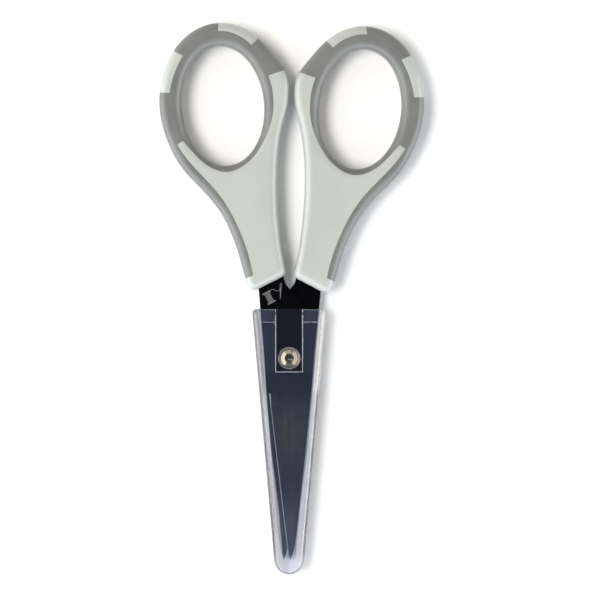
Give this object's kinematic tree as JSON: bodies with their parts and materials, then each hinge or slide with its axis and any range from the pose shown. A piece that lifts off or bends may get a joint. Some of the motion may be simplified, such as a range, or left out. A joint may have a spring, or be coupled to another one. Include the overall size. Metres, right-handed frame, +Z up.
{
  "type": "thread snips",
  "caption": "Small straight snips with oval finger loops, soft grip inlays, a domed pivot rivet and a clear slide-on blade sheath.",
  "frame": {"origin": "on the pivot axis, at the height of the table that the closed scissors lie on", "axes": "+Y from the pivot towards the finger loops along the sheath's middle line, +X to the right seen from the side that the rivet's head is on, +Z up out of that side"},
  "size_m": [0.0685, 0.1427, 0.0086],
  "materials": {
    "blade_steel": "satin black coating, bright ground edge",
    "handle_plastic": "satin",
    "soft_grip": "matte",
    "rivet_metal": "polished",
    "clear_plastic": "clear, slightly frosted"
  },
  "bodies": {
    "pivot": {"pivot_rivet": "rivet_metal", "front_washer": "rivet_metal", "rear_washer": "rivet_metal"},
    "left_half": {"upper_blade": "blade_steel", "left_handle": "handle_plastic", "left_grip": "soft_grip"},
    "right_half": {"lower_blade": "blade_steel", "right_handle": "handle_plastic", "right_grip": "soft_grip"},
    "cover": {"sheath": "clear_plastic"}
  },
  "joints": [
    {"name": "left_half_turn", "type": "hinge", "parent": "pivot", "child": "left_half", "pos_m": [0, 0, 0.004], "axis": [0, 0, 1], "range_deg": [0, 20]},
    {"name": "right_half_turn", "type": "hinge", "parent": "pivot", "child": "right_half", "pos_m": [0, 0, 0.004], "axis": [0, 0, -1], "range_deg": [0, 20]},
    {"name": "sheath_slide", "type": "slide", "parent": "pivot", "child": "cover", "axis": [0, -1, 0], "range_m": [0, 0.21]}
  ],
  "couplings": [
    {"joint": "right_half_turn", "follows": "left_half_turn", "ratio": 1},
    {"joint": "sheath_slide", "follows": "left_half_turn", "m_per_rad": 0.6}
  ]
}
